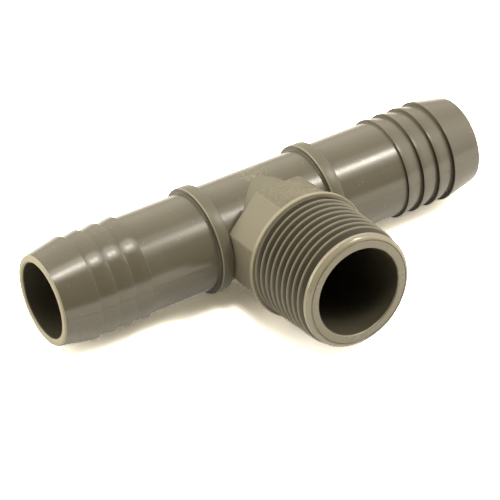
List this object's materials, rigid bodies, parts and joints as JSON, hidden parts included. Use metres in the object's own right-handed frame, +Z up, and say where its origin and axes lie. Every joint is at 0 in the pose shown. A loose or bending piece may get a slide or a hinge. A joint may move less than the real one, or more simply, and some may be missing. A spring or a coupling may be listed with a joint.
{
  "type": "pipe tee fitting",
  "caption": "Moulded plastic pipe tee with a barbed insert at each end of the run and a male taper-threaded branch behind an octagonal wrench section.",
  "frame": {"origin": "point where the run's axis crosses the branch's axis", "axes": "+X along the run, the branch points along -Y, +Z up"},
  "size_m": [0.102, 0.0492, 0.0276],
  "materials": {
    "grey_plastic": "satin"
  },
  "bodies": {
    "root": {"tee_body": "grey_plastic"}
  },
  "joints": []
}
